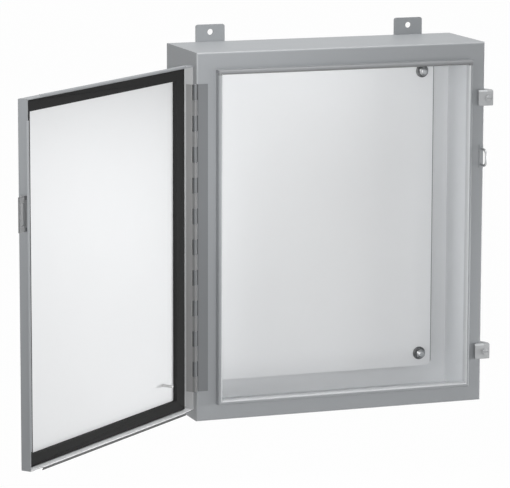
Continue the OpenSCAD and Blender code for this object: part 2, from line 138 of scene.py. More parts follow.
def endMaterial(tree, label, values):
    shader = addNode(tree, "ShaderNodeBsdfPrincipled", label)
    for socketName, value in values.items():
        feed(tree, shader.inputs[socketName], value)
    surface = addNode(tree, "ShaderNodeOutputMaterial", "surface")
    tree.links.new(shader.outputs[0], surface.inputs["Surface"])


def grey(level, tint=0.0):
    return (level * (1 - tint), level, level * (1 + tint), 1)


surfaceOutputs = {"Color": "Color", "Roughness": "Float", "Height": "Float"}

# powder coat: fine orange peel, cloudy tone and fine grain
coatGrain = {"peelScale": 620, "peelDetail": 2, "cloudScale": 9, "cloudDetail": 4,
             "grainScale": 1500, "grainDetail": 1, "grain": 0.05, "roughSpread": 0.16}


def makeCoatGroup(look):
    group, given, out = newGroup(
        "powderCoatSurface",
        {"Vector": "Vector", "Color": "Color", "Cloud": "Float", "Roughness": "Float"}, surfaceOutputs)
    links = group.links
    peel = noise(group, "orange peel", given["Vector"], look["peelScale"], look["peelDetail"])
    cloud = noise(group, "cloudy tone", given["Vector"], look["cloudScale"], look["cloudDetail"])
    speck = noise(group, "fine grain", given["Vector"], look["grainScale"], look["grainDetail"])
    cloudy = mathNode(group, "SUBTRACT", "cloud about zero", cloud, 0.5)
    cloudy = mathNode(group, "MULTIPLY", "cloud strength", cloudy, given["Cloud"])
    grain = mathNode(group, "SUBTRACT", "grain about zero", speck, 0.5)
    grain = mathNode(group, "MULTIPLY", "grain strength", grain, look["grain"])
    tone = mathNode(group, "ADD", "tone", mathNode(group, "ADD", "cloud and grain", cloudy, grain), 1.0)
    shade = addNode(group, "ShaderNodeVectorMath", "toned colour", operation="SCALE")
    links.new(given["Color"], shade.inputs[0])
    links.new(tone, shade.inputs["Scale"])
    links.new(shade.outputs[0], out["Color"])
    rough = mathNode(group, "MULTIPLY", "rough spread", cloud, look["roughSpread"])
    links.new(mathNode(group, "ADD", "rough level", rough, given["Roughness"]), out["Roughness"])
    links.new(peel, out["Height"])
    return group


# a mask that is one where a point lies between two corners along each axis
def makeInsideGroup():
    group, given, out = newGroup(
        "insideBox", {"Vector": "Vector", "Low": "Vector", "High": "Vector"}, {"Mask": "Float"})
    sides = []
    for socketName in ("Vector", "Low", "High"):
        split = addNode(group, "ShaderNodeSeparateXYZ", socketName)
        group.links.new(given[socketName], split.inputs[0])
        sides.append(split.outputs)
    masks = []
    for at, low, high in zip(*sides):
        masks.append(mathNode(group, "GREATER_THAN", "past low", at, low))
        masks.append(mathNode(group, "LESS_THAN", "short of high", at, high))
    mask = masks[0]
    for other in masks[1:]:
        mask = mathNode(group, "MULTIPLY", "all of them", mask, other)
    group.links.new(mask, out["Mask"])
    return group


# plated steel: a cloudy tone over fine turning marks
steelGrain = {"cloudScale": 160, "cloudDetail": 3, "markScale": 2400, "markDetail": 1, "roughSpread": 0.2,
              "markStrength": 0.1, "markDistance": 0.0001, "metallic": 0.9}


def makeSteelGroup(look):
    group, given, out = newGroup(
        "platedSteelSurface",
        {"Vector": "Vector", "Dark": "Color", "Color": "Color", "Roughness": "Float"}, surfaceOutputs)
    links = group.links
    cloud = noise(group, "plating cloud", given["Vector"], look["cloudScale"], look["cloudDetail"])
    marks = noise(group, "turning marks", given["Vector"], look["markScale"], look["markDetail"])
    links.new(mixColor(group, "plating tone", cloud, given["Dark"], given["Color"]), out["Color"])
    rough = mathNode(group, "MULTIPLY", "rough spread", cloud, look["roughSpread"])
    links.new(mathNode(group, "ADD", "rough level", rough, given["Roughness"]), out["Roughness"])
    links.new(marks, out["Height"])
    return group


coatGroup = makeCoatGroup(coatGrain)
insideGroup = makeInsideGroup()
steelGroup = makeSteelGroup(steelGrain)

# the tones of lips, bends and edges stand in for light and shade
coatLook = {
    "grey": grey(0.308, 0.04),
    "innerWhite": grey(0.87, 0.018),
    # the inner white, darker on the back plate as painted shade
    "backWhite": grey(0.745, 0.016),
    "panelWhite": grey(0.785, 0.01),
    "doorWhite": grey(0.79, 0.011),
    "lipWhite": grey(0.62, 0.02),  # the inner white over the lip, darker than the inner walls, and a painted highlight on the lips' crowns
    "bendGrey": grey(0.375, 0.03),  # painted highlight on the front bends of the top and of the hinge side
    "topRoll": grey(0.235, 0.03),  # painted shade on the top lip
    "topCrown": grey(0.2, 0.02),  # darker painted shade at the inner end of the top lip
    "panelEdge": grey(0.25, 0.01),  # painted shade along the right edge of the inner panel
    "hingeBody": grey(0.165, 0.045),
    "hingeDoor": grey(0.285),
    "knuckle": grey(0.2, 0.01),
    "haspGrey": grey(0.16, 0.03),
    "haspLeg": grey(0.34, 0.02),  # painted light on the leg behind the hasp's slot, and on the plate's root beside the door
    "clampGrey": grey(0.43, 0.02),
    "clampEdge": grey(0.62, 0.02),  # painted highlight on the upper edges of the clamps
    "flangeGrey": grey(0.48, 0.01),  # the door's edge beside the hinge
    "sillWhite": grey(0.93, 0.01),  # the door's bottom lip, white brightened as a painted highlight
    "turnGrey": grey(0.05, 0.01),  # painted shade on the door's bottom lip where it turns down
    "gap": grey(0.03),  # painted shade in the gaps beside the knuckles
    "cloud": 0.03,
    "roughness": 0.38,
    "specular": 0.4,
    "peelStrength": 0.12,
    "peelDistance": 0.0004,
}


# paint of one colour, with other colours inside the zones given: (colour, (low corner, high corner))
def coatMaterial(name, color, zones=(), onDoor=False):
    material, tree, place = startMaterial(name)
    spot = place
    if onDoor:
        turned = addNode(tree, "ShaderNodeMapping", "door's own frame", vector_type="TEXTURE")
        turned.inputs["Location"].default_value = hingeAt
        turned.inputs["Rotation"].default_value = (0, 0, -doorAngle)
        tree.links.new(place, turned.inputs["Vector"])
        spot = turned.outputs["Vector"]
    for zoneColor, (low, high) in zones:
        inside = addGroup(tree, insideGroup, "inside the zone", Vector=spot, Low=low, High=high)
        color = mixColor(tree, "paint of the zone", inside.outputs["Mask"], color, zoneColor)
    coat = addGroup(tree, coatGroup, "powder coat", Vector=place, Color=color,
                    Cloud=coatLook["cloud"], Roughness=coatLook["roughness"])
    peel = bumpNormal(tree, "orange peel", coat.outputs["Height"],
                      coatLook["peelStrength"], coatLook["peelDistance"])
    endMaterial(tree, "paint", {
        "Base Color": coat.outputs["Color"], "Roughness": coat.outputs["Roughness"], "Normal": peel,
        "Specular IOR Level": coatLook["specular"]})
    return material


def steelMaterial(name, color, dark, roughness):
    material, tree, place = startMaterial(name)
    steel = addGroup(tree, steelGroup, "plated steel", Vector=place,
                     Dark=dark, Color=color, Roughness=roughness)
    marks = bumpNormal(tree, "turning marks", steel.outputs["Height"],
                       steelGrain["markStrength"], steelGrain["markDistance"])
    endMaterial(tree, "zinc", {
        "Base Color": steel.outputs["Color"], "Roughness": steel.outputs["Roughness"], "Normal": marks,
        "Metallic": steelGrain["metallic"]})
    return material


# closed-cell foam: fine cells and a dull black
foamLook = {"color": grey(0.013), "pale": grey(0.024), "cellScale": 900, "cellStrength": 0.35,
            "cellDistance": 0.0004, "roughness": 0.85, "specular": 0.2}


def foamMaterial(name, look):
    material, tree, place = startMaterial(name)
    cells = addNode(tree, "ShaderNodeTexVoronoi", "foam cells")
    cells.inputs["Scale"].default_value = look["cellScale"]
    tree.links.new(place, cells.inputs["Vector"])
    depth = cells.outputs["Distance"]
    endMaterial(tree, "foam", {
        "Base Color": mixColor(tree, "cell tone", depth, look["color"], look["pale"]),
        "Normal": bumpNormal(tree, "cells", depth, look["cellStrength"], look["cellDistance"]),
        "Roughness": look["roughness"], "Specular IOR Level": look["specular"]})
    return material


def cover(material, *names):
    for name in names:
        slots = nodes[name].data.materials
        slots.clear()
        slots.append(material)


# lowest and highest corners of a door part in the door's own frame
def doorBox(name):
    toDoor = doorFrame.inverted()
    points = [toDoor @ vertex.co for vertex in nodes[name].data.vertices]
    return [Vector(limit(point[axis] for point in points) for axis in range(3)) for limit in (min, max)]


# low and high corners of a zone of paint, which is open along an axis that isn't given
def zone(x=(-wide, wide), y=(-wide, wide), z=(-wide, wide)):
    return tuple(zip(x, y, z))


# box: white inside and over the lip, grey outside, with painted highlights on the front bends and over the lip,
# and painted shade on the top lip
halfSheet = 0.0009  # about half a wall's thickness, so that a change of paint lies inside the sheet
bodyZone = {
    "bend": 0.0024,  # reach of the painted highlight on the front bends
    "lip": 0.0023,  # reach of the white and painted highlight over the lip, from the lip's inner end
    "crown": 0.003,  # reach of the darkest painted shade over the top lip, from the same end
    "crownDepth": 0.0095,  # how far forward of the flange that shade starts
    "roll": 0.0078,  # reach of the lighter painted shade over the rest of the top lip
}
backLow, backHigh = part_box("back_plate")
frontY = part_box("hinge_leaf_body")[1].y
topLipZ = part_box("body_top")[0].z
lipX = (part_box("body_hinge_side")[1].x - bodyZone["lip"],
        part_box("body_clamp_side")[0].x + bodyZone["lip"])
lipZ = (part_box("body_bottom")[1].z - bodyZone["lip"], topLipZ + bodyZone["lip"])
crownShadeZ = (topLipZ - halfSheet, topLipZ + bodyZone["crown"])
bendHighlightY = (-wide, frontY + bodyZone["bend"])
insideZone = zone(x=(backLow.x + halfSheet, backHigh.x - halfSheet),
                  y=(frontY + halfSheet, backHigh.y - halfSheet),
                  z=(backLow.z + halfSheet, backHigh.z - halfSheet))
bodyPaint = coatMaterial("bodyPaint", coatLook["grey"], [
    # painted highlight along the front bends of the top and of the hinge side
    (coatLook["bendGrey"], zone(y=bendHighlightY, z=(backHigh.z - bodyZone["bend"], wide))),
    (coatLook["bendGrey"], zone(y=bendHighlightY, x=(-wide, backLow.x + bodyZone["bend"]))),
    # the inner white over the lip, which is also a painted highlight on its crown
    (coatLook["lipWhite"], zone(x=lipX, y=(-wide, frontY + halfSheet), z=lipZ)),
    # painted shade over the top lip, darker at its inner end
    (coatLook["topRoll"], zone(y=(-wide, frontY - halfSheet), z=(crownShadeZ[1], topLipZ + bodyZone["roll"]))),
    (coatLook["topCrown"], zone(y=(-wide, frontY - bodyZone["crownDepth"]), z=crownShadeZ)),
    (coatLook["innerWhite"], insideZone)])
# inside the back plate, the inner white is darker as painted shade
backPaint = coatMaterial("backPaint", coatLook["grey"], [(coatLook["backWhite"], insideZone)])

# door: white inside the rim, with a pale hinge edge, and a bottom lip with a painted highlight above and painted
# shade where it turns down
doorZone = {
    "flange": 0.0012,  # the pale hinge edge starts here along the door
    "hingeSide": 0.0034,  # and ends here, where the white starts
    "edge": 0.0018,  # how far the white passes the gasket
    "rimEnd": -0.0025,  # where the white ends across the rim
    "notch": 0.0045,  # far side of the painted shade in the gap behind the knuckles
    "barrel": 0.0034,  # just past the knuckles' radius
    "sill": 0.0019,  # width of the bottom lip's white and painted highlight
}
gasketLow, gasketHigh = doorBox("door_gasket")
doorLeafLow, doorLeafHigh = doorBox("hinge_leaf_door")
freeX = gasketHigh.x + doorZone["edge"]
pocketY = (gasketLow.y - halfSheet, doorZone["rimEnd"])
pocketZ = (gasketLow.z - doorZone["edge"], gasketHigh.z + doorZone["edge"])
turnShadeZ = gasketLow.z - doorZone["sill"]
doorPaint = coatMaterial("doorPaint", coatLook["grey"], [
    (coatLook["doorWhite"], zone(x=(doorZone["hingeSide"], freeX), y=pocketY, z=pocketZ)),
    (coatLook["flangeGrey"], zone(x=(doorZone["flange"], doorZone["hingeSide"]), y=pocketY, z=pocketZ)),
    # painted shade in the gap behind the knuckles
    (coatLook["gap"], zone(x=(-wide, doorZone["hingeSide"]), y=(-doorZone["notch"], -doorZone["barrel"]),
                           z=(doorLeafLow.z, doorLeafHigh.z))),
    # painted highlight on the door's bottom lip
    (coatLook["sillWhite"], zone(x=(gasketLow.x - doorZone["barrel"], freeX), y=(gasketHigh.y, wide),
                                 z=(turnShadeZ, gasketLow.z))),
    # painted shade where the door's bottom lip turns down
    (coatLook["turnGrey"], zone(y=(doorZone["rimEnd"] - doorZone["edge"], wide), z=(-wide, turnShadeZ)))],
    onDoor=True)

# hinge: dark body leaf with painted shade in the valley beside its knuckles, paler door leaf with darker knuckles
leafZone = {"valleyStart": 0.0036, "valleyEnd": 0.0054}  # from the hinge's axis
valleyShadeX = (hingeAt.x + leafZone["valleyStart"], hingeAt.x + leafZone["valleyEnd"])
knuckleSide = (-doorZone["barrel"], doorZone["barrel"])
bodyLeafPaint = coatMaterial("bodyLeafPaint", coatLook["hingeBody"], [(coatLook["gap"], zone(x=valleyShadeX))])
doorLeafPaint = coatMaterial("doorLeafPaint", coatLook["hingeDoor"], [
    (coatLook["knuckle"], zone(x=knuckleSide, y=knuckleSide))], onDoor=True)

# hasp: the leg on the door's edge and the plate's root beside it are paler than the plate, as painted light
haspZone = {
    "sheet": 0.0026,  # just past the plate's thickness
    "root": 0.0045,  # width of the root
    "end": 0.006,  # the plate keeps its own tone this far from each end
}
haspLow, haspHigh = doorBox("hasp_plate")
haspPaint = coatMaterial("haspPaint", coatLook["haspGrey"], [
    # painted light on the hasp's leg and on the plate's root
    (coatLook["haspLeg"], zone(y=(-wide, haspHigh.y - haspZone["sheet"]))),
    (coatLook["haspLeg"], zone(x=(-wide, haspLow.x + haspZone["root"]),
                               z=(haspLow.z + haspZone["end"], haspHigh.z - haspZone["end"])))],
    onDoor=True)

# clamps: a painted highlight on the upper edge over the share of the width that reaches the door
clampZone = {"edge": 0.0026, "share": 0.6}


def clampHighlightZone(name):
    low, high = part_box(name)
    reach = low.x + clampZone["share"] * (high.x - low.x)
    return zone(x=(-wide, reach), z=(high.z - clampZone["edge"], high.z + halfSheet))


# painted highlight along the upper edges of the clamps
clampPaint = coatMaterial("clampPaint", coatLook["clampGrey"], [
    (coatLook["clampEdge"], clampHighlightZone(name)) for name in ("clamp_upper", "clamp_lower")])

# painted shade along the right edge of the inner panel
panelZone = {"edge": 0.0014}
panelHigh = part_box("inner_panel")[1]
whitePaint = coatMaterial("whitePaint", coatLook["panelWhite"], [
    (coatLook["panelEdge"], zone(x=(panelHigh.x - panelZone["edge"], wide)))])
greyPaint = coatMaterial("greyPaint", coatLook["grey"])
zinc = steelMaterial("zincPlate", color=grey(0.6, 0.01), dark=grey(0.46, 0.02), roughness=0.32)
darkZinc = steelMaterial("darkZinc", color=grey(0.17, 0.02), dark=grey(0.12, 0.02), roughness=0.3)
brightZinc = steelMaterial("brightZinc", color=grey(0.42, 0.01), dark=grey(0.3, 0.02), roughness=0.24)
paleZinc = steelMaterial("paleZinc", color=grey(0.66), dark=grey(0.54), roughness=0.5)
foam = foamMaterial("gasketFoam", foamLook)

cover(bodyPaint, "body_top", "body_bottom", "body_hinge_side", "body_clamp_side")
cover(backPaint, "back_plate")
cover(doorPaint, "door_panel")
cover(greyPaint, "mounting_feet", "staple_plate", "clamp_brackets")
cover(clampPaint, "clamp_upper", "clamp_lower")
cover(haspPaint, "hasp_plate")
cover(whitePaint, "inner_panel")
cover(bodyLeafPaint, "hinge_leaf_body")
cover(doorLeafPaint, "hinge_leaf_door")
cover(zinc, "hinge_pin", "padlock_staple", "body_ground_stud", "body_ground_nut", "door_ground_stud",
      "clamp_screw_upper", "clamp_screw_lower")
cover(darkZinc, "panel_studs", "panel_washers", "panel_nuts")
cover(foam, "door_gasket")
print("materials done")


# modelling helpers

def namePiece(name):
    piece = bpy.context.object
    piece.name = name
    piece.data.name = name
    bpy.ops.object.transform_apply(location=True, rotation=True, scale=True)
    return piece


def selectOnly(piece):
    bpy.ops.object.select_all(action="DESELECT")
    bpy.context.view_layer.objects.active = piece
    piece.select_set(True)


def openPiece(piece):
    selectOnly(piece)
    bpy.ops.object.mode_set(mode="EDIT")
    bpy.ops.mesh.select_mode(type="VERT")


def closePiece():
    bpy.ops.mesh.select_all(action="SELECT")
    bpy.ops.mesh.remove_doubles(threshold=tiny)
    bpy.ops.mesh.normals_make_consistent(inside=False)
    bpy.ops.object.mode_set(mode="OBJECT")


# the test is given each face's centre and normal
def pickFaces(test):
    bpy.ops.mesh.select_all(action="DESELECT")
    bpy.ops.mesh.select_mode(type="FACE")
    work = bmesh.from_edit_mesh(bpy.context.object.data)
    for face in work.faces:
        face.select_set(test(face.calc_center_median(), face.normal))
    bmesh.update_edit_mesh(bpy.context.object.data)


# the test is given both ends of each edge
def pickEdges(test):
    bpy.ops.mesh.select_all(action="DESELECT")
    bpy.ops.mesh.select_mode(type="EDGE")
    work = bmesh.from_edit_mesh(bpy.context.object.data)
    for edge in work.edges:
        edge.select_set(test(edge.verts[0].co, edge.verts[1].co))
    bmesh.update_edit_mesh(bpy.context.object.data)


def extrude(value):
    bpy.ops.mesh.extrude_region_move(TRANSFORM_OT_translate={"value": value})


def applyModifier(piece, kind, **values):
    modifier = piece.modifiers.new(kind.lower(), kind)
    for key, value in values.items():
        setattr(modifier, key, value)
    selectOnly(piece)
    bpy.ops.object.modifier_apply(modifier=modifier.name)


# the tool is used up
def combine(piece, operation, tool):
    applyModifier(piece, "BOOLEAN", operation=operation, solver="EXACT", object=tool)
    bpy.data.objects.remove(tool)


# a disc or bar on the z axis from one height to another, with its rims rounded
def roundBar(name, radius, low, high, soft):
    bpy.ops.mesh.primitive_cylinder_add(
        vertices=48, radius=radius, depth=high - low, location=(0, 0, (low + high) / 2))
    bar = namePiece(name)
    openPiece(bar)
    if soft:
        pickEdges(lambda a, b: abs(a.z - b.z) < tiny)
        bpy.ops.mesh.bevel(offset=soft, segments=2, affect="EDGES")
    closePiece()
    return bar


# thread: one tooth wound up the rod, cut square at both ends, the top end chamfered
# all but the steps of a turn are shares of the pitch
threadLook = {"depth": 0.6, "chamfer": 0.7, "flat": 0.1, "flank": 0.35, "steps": 24}


def threadedRod(name, radius, pitch, low, high):
    depth = threadLook["depth"] * pitch
    chamfer = threadLook["chamfer"] * pitch
    flat = threadLook["flat"] * pitch
    flank = threadLook["flank"] * pitch
    bpy.ops.mesh.primitive_plane_add(size=pitch)
    rod = namePiece(name)
    openPiece(rod)
    bpy.ops.mesh.select_all(action="SELECT")
    bpy.ops.mesh.merge(type="CENTER")
    # the tooth starts two turns below the rod and runs past its top, and both ends are cut off
    bpy.ops.transform.translate(value=(radius - depth, 0, low - 2 * pitch))
    for out, up in ((0, flat), (depth, flank), (0, flat), (-depth, flank), (0, flat)):
        bpy.ops.mesh.extrude_vertices_move(TRANSFORM_OT_translate={"value": (out, 0, up)})
    bpy.ops.object.mode_set(mode="OBJECT")
    turns = math.ceil((high - low) / pitch) + 3
    applyModifier(rod, "SCREW", axis="Z", screw_offset=pitch, iterations=turns,
                  steps=threadLook["steps"], render_steps=threadLook["steps"])
    openPiece(rod)
    bpy.ops.mesh.select_all(action="SELECT")
    bpy.ops.mesh.remove_doubles(threshold=tiny)
    for height, inner in ((low, True), (high - chamfer, False)):
        bpy.ops.mesh.select_all(action="SELECT")
        bpy.ops.mesh.bisect(plane_co=(0, 0, height), plane_no=(0, 0, 1), use_fill=True,
                            clear_inner=inner, clear_outer=not inner, threshold=tiny / 10)
    bpy.ops.mesh.select_all(action="SELECT")
    bpy.ops.mesh.normals_make_consistent(inside=False)
    pickFaces(lambda at, normal: normal.z > facing and at.z > high - chamfer - tiny)
    extrude((0, 0, chamfer))
    small = (radius - chamfer) / radius
    bpy.ops.transform.resize(value=(small, small, 1), center_override=(0, 0, high))
    closePiece()
    return rod


# a hexagon whose corners are turned off at the ends given
hexLook = {"rise": 0.07, "face": 0.94, "clear": 1.02}  # shares of the flat, the half flat and the corner


def hexBlock(name, flat, low, high, ends=(1, -1)):
    corner = flat / 2 / math.cos(math.radians(30))
    turnedR = hexLook["clear"] * corner
    rise = hexLook["rise"] * flat
    middle = (low + high) / 2
    bpy.ops.mesh.primitive_cylinder_add(
        vertices=6, radius=corner, depth=high - low + 2 * rise, location=(0, 0, middle))
    block = namePiece(name)
    bpy.ops.mesh.primitive_cylinder_add(
        vertices=64, radius=turnedR, depth=high - low - 2 * rise, location=(0, 0, middle))
    turned = namePiece(name + "Turned")
    openPiece(turned)
    for side in (1, -1):
        pickFaces(lambda at, normal: normal.z * side > facing)
        extrude((0, 0, side * rise))
        if side in ends:
            small = hexLook["face"] * flat / 2 / turnedR
            bpy.ops.transform.resize(value=(small, small, 1), center_override=(0, 0, middle))
    closePiece()
    combine(block, "INTERSECT", turned)
    return block


# bore with a small countersink at each end
boreLook = {"flare": 0.15, "spread": 1.3}  # shares of the radius


def bore(piece, radius, low, high):
    flare = boreLook["flare"] * radius
    spread = boreLook["spread"]
    tool = roundBar("boreTool", radius, low + flare, high - flare, 0)
    openPiece(tool)
    for side in (1, -1):
        pickFaces(lambda at, normal: normal.z * side > facing)
        extrude((0, 0, 2 * side * flare))
        bpy.ops.transform.resize(value=(spread, spread, 1), center_override=(0, 0, (low + high) / 2))
    closePiece()
    combine(piece, "DIFFERENCE", tool)


# turn the z axis of a piece to an aim and set its foot at a place
def setPiece(piece, place, aim):
    turn = Vector(aim).to_track_quat("Z", "Y").to_matrix().to_4x4()
    piece.data.transform(Matrix.Translation(place) @ turn)


def copyPiece(piece, name, place=(0, 0, 0)):
    twin = piece.copy()
    twin.data = piece.data.copy()
    twin.name = name
    twin.data.name = name
    bpy.context.scene.collection.objects.link(twin)
    twin.data.transform(Matrix.Translation(place))
    return twin


smoothAngle = math.radians(32)  # sharper edges stay sharp


def finishPiece(piece, material, body, replaced=None):
    openPiece(piece)
    closePiece()
    bpy.ops.object.shade_smooth_by_angle(angle=smoothAngle)
    piece.data.materials.clear()
    piece.data.materials.append(material)
    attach(piece, body)
    if replaced:
        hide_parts(replaced)


# panel studs with collars, washers and nuts, modelled once and copied to the four corners
fixingLook = {"studR": 0.00475, "pitch": 0.00159, "studSink": 0.001, "collarR": 0.00795, "washerR": 0.0111,
              "washerHole": 0.00525, "nutFlat": 0.0143, "nutHole": 0.0048, "soft": 0.0003}


def makePanelFixings(look):
    studLow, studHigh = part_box("panel_studs")
    washerLow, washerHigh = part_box("panel_washers")
    nutLow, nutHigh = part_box("panel_nuts")
    back = panelHigh.y  # heights below are forward of the panel's back
    stud = threadedRod("panelStud", look["studR"], look["pitch"], -look["studSink"], back - studLow.y)
    collar = roundBar("panelCollar", look["collarR"], back - studHigh.y, 0, look["soft"])
    combine(stud, "UNION", collar)
    washerSpan = (back - washerHigh.y, back - washerLow.y)
    washer = roundBar("panelWasher", look["washerR"], *washerSpan, look["soft"])
    bore(washer, look["washerHole"], *washerSpan)
    nutSpan = (back - nutHigh.y, back - nutLow.y)
    nut = hexBlock("panelNut", look["nutFlat"], *nutSpan)
    bore(nut, look["nutHole"], *nutSpan)
    places = []
    for x in (studLow.x + look["collarR"], studHigh.x - look["collarR"]):
        for z in (studLow.z + look["collarR"], studHigh.z - look["collarR"]):
            places.append((x, back, z))
    for piece, node, steel in ((stud, "panel_studs", zinc), (washer, "panel_washers", darkZinc),
                               (nut, "panel_nuts", brightZinc)):
        setPiece(piece, (0, 0, 0), (0, -1, 0))
        for number, place in enumerate(places):
            twin = copyPiece(piece, piece.name + str(number + 1), place)
            finishPiece(twin, steel, "enclosure", node)
        bpy.data.objects.remove(piece)


# ground studs, with a nut on the one in the box
groundLook = {"studR": 0.0024, "pitch": 0.00079, "nutFlat": 0.0095, "nutHole": 0.00245}


def makeGroundStuds(look):
    mount = mounts["door_ground"]
    aim = Vector(mount["axis"])
    length = mount["dims"]["length_mm"] / 1000
    doorStud = threadedRod("doorGroundStud", look["studR"], look["pitch"], 0, length)
    low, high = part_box("body_ground_stud")
    nutLow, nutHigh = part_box("body_ground_nut")
    bodyStud = copyPiece(doorStud, "bodyGroundStud")
    setPiece(doorStud, Vector(mount["pos_m"]) - aim * length / 2, aim)
    finishPiece(doorStud, paleZinc, "door", "door_ground_stud")
    place = (low.x, (low.y + high.y) / 2, (low.z + high.z) / 2)
    setPiece(bodyStud, place, (1, 0, 0))
    finishPiece(bodyStud, zinc, "enclosure", "body_ground_stud")
    nut = hexBlock("bodyGroundNut", look["nutFlat"], 0, nutHigh.x - nutLow.x)
    bore(nut, look["nutHole"], 0, nutHigh.x - nutLow.x)
    setPiece(nut, (nutLow.x, place[1], place[2]), (1, 0, 0))
    finishPiece(nut, zinc, "enclosure", "body_ground_nut")


# clamp screws: a slotted hexagon head on a flange, over a threaded shank
screwLook = {"headFlat": 0.0095, "headH": 0.0032, "headSink": 0.0002, "flangeR": 0.0057, "flangeT": 0.0012,
             "shankR": 0.0024, "shankSink": 0.0005, "pitch": 0.00079, "slotLength": 0.03, "slotW": 0.0013,
             "slotDeep": 0.0016, "soft": 0.0003}


def makeClampScrews(look):
    low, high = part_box("clamp_screw_upper")
    seat = look["flangeT"] + look["headH"]  # depth of the flange's under side below the top of the head
    shank = threadedRod(
        "clampScrewShank", look["shankR"], look["pitch"], -look["shankSink"], high.y - low.y - seat)
    setPiece(shank, (0, 0, 0), (0, 0, -1))
    screw = hexBlock("clampScrew", look["headFlat"], look["flangeT"] - look["headSink"], seat, ends=(1,))
    flange = roundBar("clampScrewFlange", look["flangeR"], 0, look["flangeT"], look["soft"])
    combine(screw, "UNION", flange)
    combine(screw, "UNION", shank)
    bpy.ops.mesh.primitive_cube_add(size=1, location=(0, 0, seat))
    slotTool = namePiece("slotTool")
    openPiece(slotTool)
    bpy.ops.mesh.select_all(action="SELECT")
    slotSize = (look["slotLength"], look["slotW"], 2 * look["slotDeep"])
    bpy.ops.transform.resize(value=slotSize, center_override=(0, 0, seat))
    closePiece()
    combine(screw, "DIFFERENCE", slotTool)
    for node, name in (("clamp_screw_upper", "clampScrewUpper"), ("clamp_screw_lower", "clampScrewLower")):
        low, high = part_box(node)
        twin = copyPiece(screw, name)
        setPiece(twin, ((low.x + high.x) / 2, low.y + seat, (low.z + high.z) / 2), (0, -1, 0))
        finishPiece(twin, clampPaint, node, node)
    bpy.data.objects.remove(screw)


# gasket: a flat frame of foam with its edges rounded over, modelled in the door's own frame
gasketLook = {"width": 0.019, "hingeWidth": 0.0265, "corner": 0.0012, "soft": 0.0014}


def makeGasket(look):
    middle = (gasketHigh + gasketLow) / 2
    bpy.ops.mesh.primitive_cube_add(size=1)
    gasket = namePiece("doorGasket")
    openPiece(gasket)
    bpy.ops.mesh.select_all(action="SELECT")
    bpy.ops.transform.resize(value=gasketHigh - gasketLow, center_override=(0, 0, 0))
    bpy.ops.transform.translate(value=middle)
    pickFaces(lambda at, normal: abs(normal.y) > facing)
    bpy.ops.mesh.inset(thickness=look["width"], use_individual=True)
    nearHinge = (gasketLow.x + look["width"] / 2, gasketLow.x + 2 * look["width"])
    pickEdges(lambda a, b: (all(nearHinge[0] < end.x < nearHinge[1] for end in (a, b))
                            and abs(a.y - b.y) < tiny))
    bpy.ops.transform.translate(value=(look["hingeWidth"] - look["width"], 0, 0))
    pickFaces(lambda at, normal: abs(normal.y) > facing and (at - middle).length < look["hingeWidth"])
    bpy.ops.mesh.bridge_edge_loops()
    pickEdges(lambda a, b: abs(a.y - b.y) > tiny)
    bpy.ops.mesh.bevel(offset=look["corner"], segments=4, affect="EDGES")
    pickFaces(lambda at, normal: at.y > gasketHigh.y - tiny and normal.y > facing)
    bpy.ops.mesh.region_to_loop()
    bpy.ops.mesh.bevel(offset=look["soft"], segments=3, affect="EDGES")
    closePiece()
    gasket.data.transform(doorFrame)
    finishPiece(gasket, foam, "door", "door_gasket")


# weld bead on the z axis: one ripple repeated along the seam, drawn in at its ends
# tipR is a share of the waist, and the others are shares of the bead's radius
beadLook = {"step": 0.9, "waist": 0.86, "tip": 0.3, "tipR": 0.6}


def weldBead(name, radius, length):
    count = max(2, round(length / (beadLook["step"] * radius)))
    step = length / count
    swell = 1 / beadLook["waist"]
    bpy.ops.mesh.primitive_cylinder_add(
        vertices=12, radius=beadLook["waist"] * radius, depth=step, end_fill_type="NOTHING",
        location=(0, 0, step / 2))
    bead = namePiece(name)
    openPiece(bead)
    pickEdges(lambda a, b: abs(a.z - b.z) > step / 2)
    bpy.ops.mesh.subdivide(number_cuts=1)
    pickEdges(lambda a, b: abs(a.z - step / 2) < tiny and abs(b.z - step / 2) < tiny)
    bpy.ops.transform.resize(value=(swell, swell, 1), center_override=(0, 0, step / 2))
    bpy.ops.object.mode_set(mode="OBJECT")
    applyModifier(bead, "ARRAY", count=count, use_relative_offset=False, use_constant_offset=True,
                  constant_offset_displace=(0, 0, step), use_merge_vertices=True, merge_threshold=tiny)
    openPiece(bead)
    small = beadLook["tipR"]
    for end, side in ((0, -1), (length, 1)):
        pickEdges(lambda a, b: abs(a.z - end) < tiny and abs(b.z - end) < tiny)
        extrude((0, 0, side * beadLook["tip"] * radius))
        bpy.ops.transform.resize(value=(small, small, 1), center_override=(0, 0, end))
        bpy.ops.mesh.edge_face_add()
    closePiece()
    return bead


# welds along the sides of the feet, and round the legs of the staple
weldLook = {"footWidth": 0.0508, "footLap": 0.038, "footSeam": 0.026, "footBead": 0.0016,
            "stapleBead": 0.0009, "stapleFlat": 0.7, "stapleRipple": 0.12, "seed": 3}


